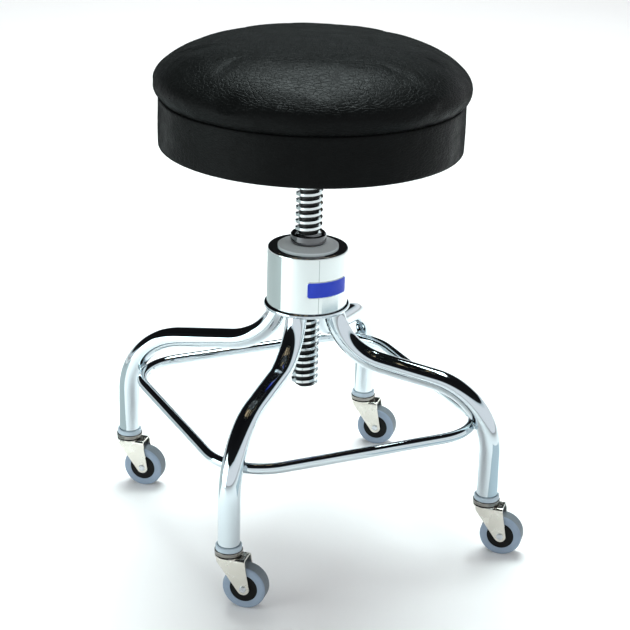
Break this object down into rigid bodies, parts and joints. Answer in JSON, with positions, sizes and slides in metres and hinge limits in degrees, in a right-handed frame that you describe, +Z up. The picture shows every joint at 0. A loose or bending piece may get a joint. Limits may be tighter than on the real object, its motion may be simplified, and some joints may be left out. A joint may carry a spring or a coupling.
{
  "type": "workshop stool",
  "caption": "Round padded stool on a coarse lift screw, with a drum hub, bent tube legs, a square foot ring and swivel casters.",
  "frame": {"origin": "centre of the overall footprint, at floor level", "axes": "+Z up; the front leg lies towards -Y and the right leg towards +X; the seat's axis stands at x = -0.0153 m, y = 0"},
  "size_m": [0.5379, 0.5072, 0.6057],
  "materials": {
    "cushion": "black grained vinyl over foam",
    "band": "black grained vinyl",
    "board": "plain plywood",
    "steel": "black satin paint",
    "plated_screw": "plated, turned",
    "chrome_turned": "bright, turned",
    "chrome": "polished chrome plate",
    "nickel": "bright nickel plate",
    "pale_plastic": "moulded, satin",
    "socket_plastic": "moulded, satin",
    "dark_nylon": "moulded",
    "soft_rubber": "moulded, matt",
    "tyre": "grey non-marking rubber"
  },
  "bodies": {
    "base": {"hub_shell": "chrome", "hub_spider": "steel", "hub_base_ring": "chrome", "hub_washer": "pale_plastic", "lift_nut": "chrome_turned", "foot_ring": "chrome", "leg_front": "chrome", "leg_right": "chrome", "leg_back": "chrome", "leg_left": "chrome", "caster_socket_front": "socket_plastic", "caster_socket_right": "socket_plastic", "caster_socket_back": "socket_plastic", "caster_socket_left": "socket_plastic", "caster_stem_front": "nickel", "caster_stem_right": "nickel", "caster_stem_back": "nickel", "caster_stem_left": "nickel"},
    "lift": {"lift_bumper": "soft_rubber"},
    "seat": {"seat_cushion": "cushion", "seat_band": "band", "seat_board": "board", "seat_flange": "steel", "seat_screws": "steel", "lift_screw": "plated_screw"},
    "caster_front": {"caster_fork_front": "nickel", "caster_bearing_front": "dark_nylon", "caster_axle_front": "nickel"},
    "wheel_front": {"wheel_core_front": "dark_nylon", "wheel_tyre_front": "tyre"},
    "caster_right": {"caster_fork_right": "nickel", "caster_bearing_right": "dark_nylon", "caster_axle_right": "nickel"},
    "wheel_right": {"wheel_core_right": "dark_nylon", "wheel_tyre_right": "tyre"},
    "caster_back": {"caster_fork_back": "nickel", "caster_bearing_back": "dark_nylon", "caster_axle_back": "nickel"},
    "wheel_back": {"wheel_core_back": "dark_nylon", "wheel_tyre_back": "tyre"},
    "caster_left": {"caster_fork_left": "nickel", "caster_bearing_left": "dark_nylon", "caster_axle_left": "nickel"},
    "wheel_left": {"wheel_core_left": "dark_nylon", "wheel_tyre_left": "tyre"}
  },
  "joints": [
    {"name": "seat_lift", "type": "slide", "parent": "base", "child": "lift", "axis": [0, 0, 1], "range_m": [-0.0895, 0.06]},
    {"name": "seat_turn", "type": "hinge", "parent": "lift", "child": "seat", "pos_m": [-0.0153, 0, 0.3728], "axis": [0, 0, 1], "range_deg": [-3780, 2520]},
    {"name": "swivel_front", "type": "hinge", "parent": "base", "child": "caster_front", "pos_m": [-0.0153, -0.2373, 0.0616], "axis": [0, 0, 1], "continuous": true},
    {"name": "roll_front", "type": "hinge", "parent": "caster_front", "child": "wheel_front", "pos_m": [0.00586, -0.23593, 0.0254], "axis": [-0.0645, 0.9979, 0], "continuous": true},
    {"name": "swivel_right", "type": "hinge", "parent": "base", "child": "caster_right", "pos_m": [0.222, 0, 0.0616], "axis": [0, 0, 1], "continuous": true},
    {"name": "roll_right", "type": "hinge", "parent": "caster_right", "child": "wheel_right", "pos_m": [0.24316, 0.00137, 0.0254], "axis": [-0.0645, 0.9979, 0], "continuous": true},
    {"name": "swivel_back", "type": "hinge", "parent": "base", "child": "caster_back", "pos_m": [-0.0153, 0.2373, 0.0616], "axis": [0, 0, 1], "continuous": true},
    {"name": "roll_back", "type": "hinge", "parent": "caster_back", "child": "wheel_back", "pos_m": [0.00586, 0.23867, 0.0254], "axis": [-0.0645, 0.9979, 0], "continuous": true},
    {"name": "swivel_left", "type": "hinge", "parent": "base", "child": "caster_left", "pos_m": [-0.2526, 0, 0.0616], "axis": [0, 0, 1], "continuous": true},
    {"name": "roll_left", "type": "hinge", "parent": "caster_left", "child": "wheel_left", "pos_m": [-0.23144, 0.00137, 0.0254], "axis": [-0.0645, 0.9979, 0], "continuous": true}
  ],
  "couplings": [
    {"joint": "seat_lift", "follows": "seat_turn", "m_per_rad": 0.0013476}
  ]
}
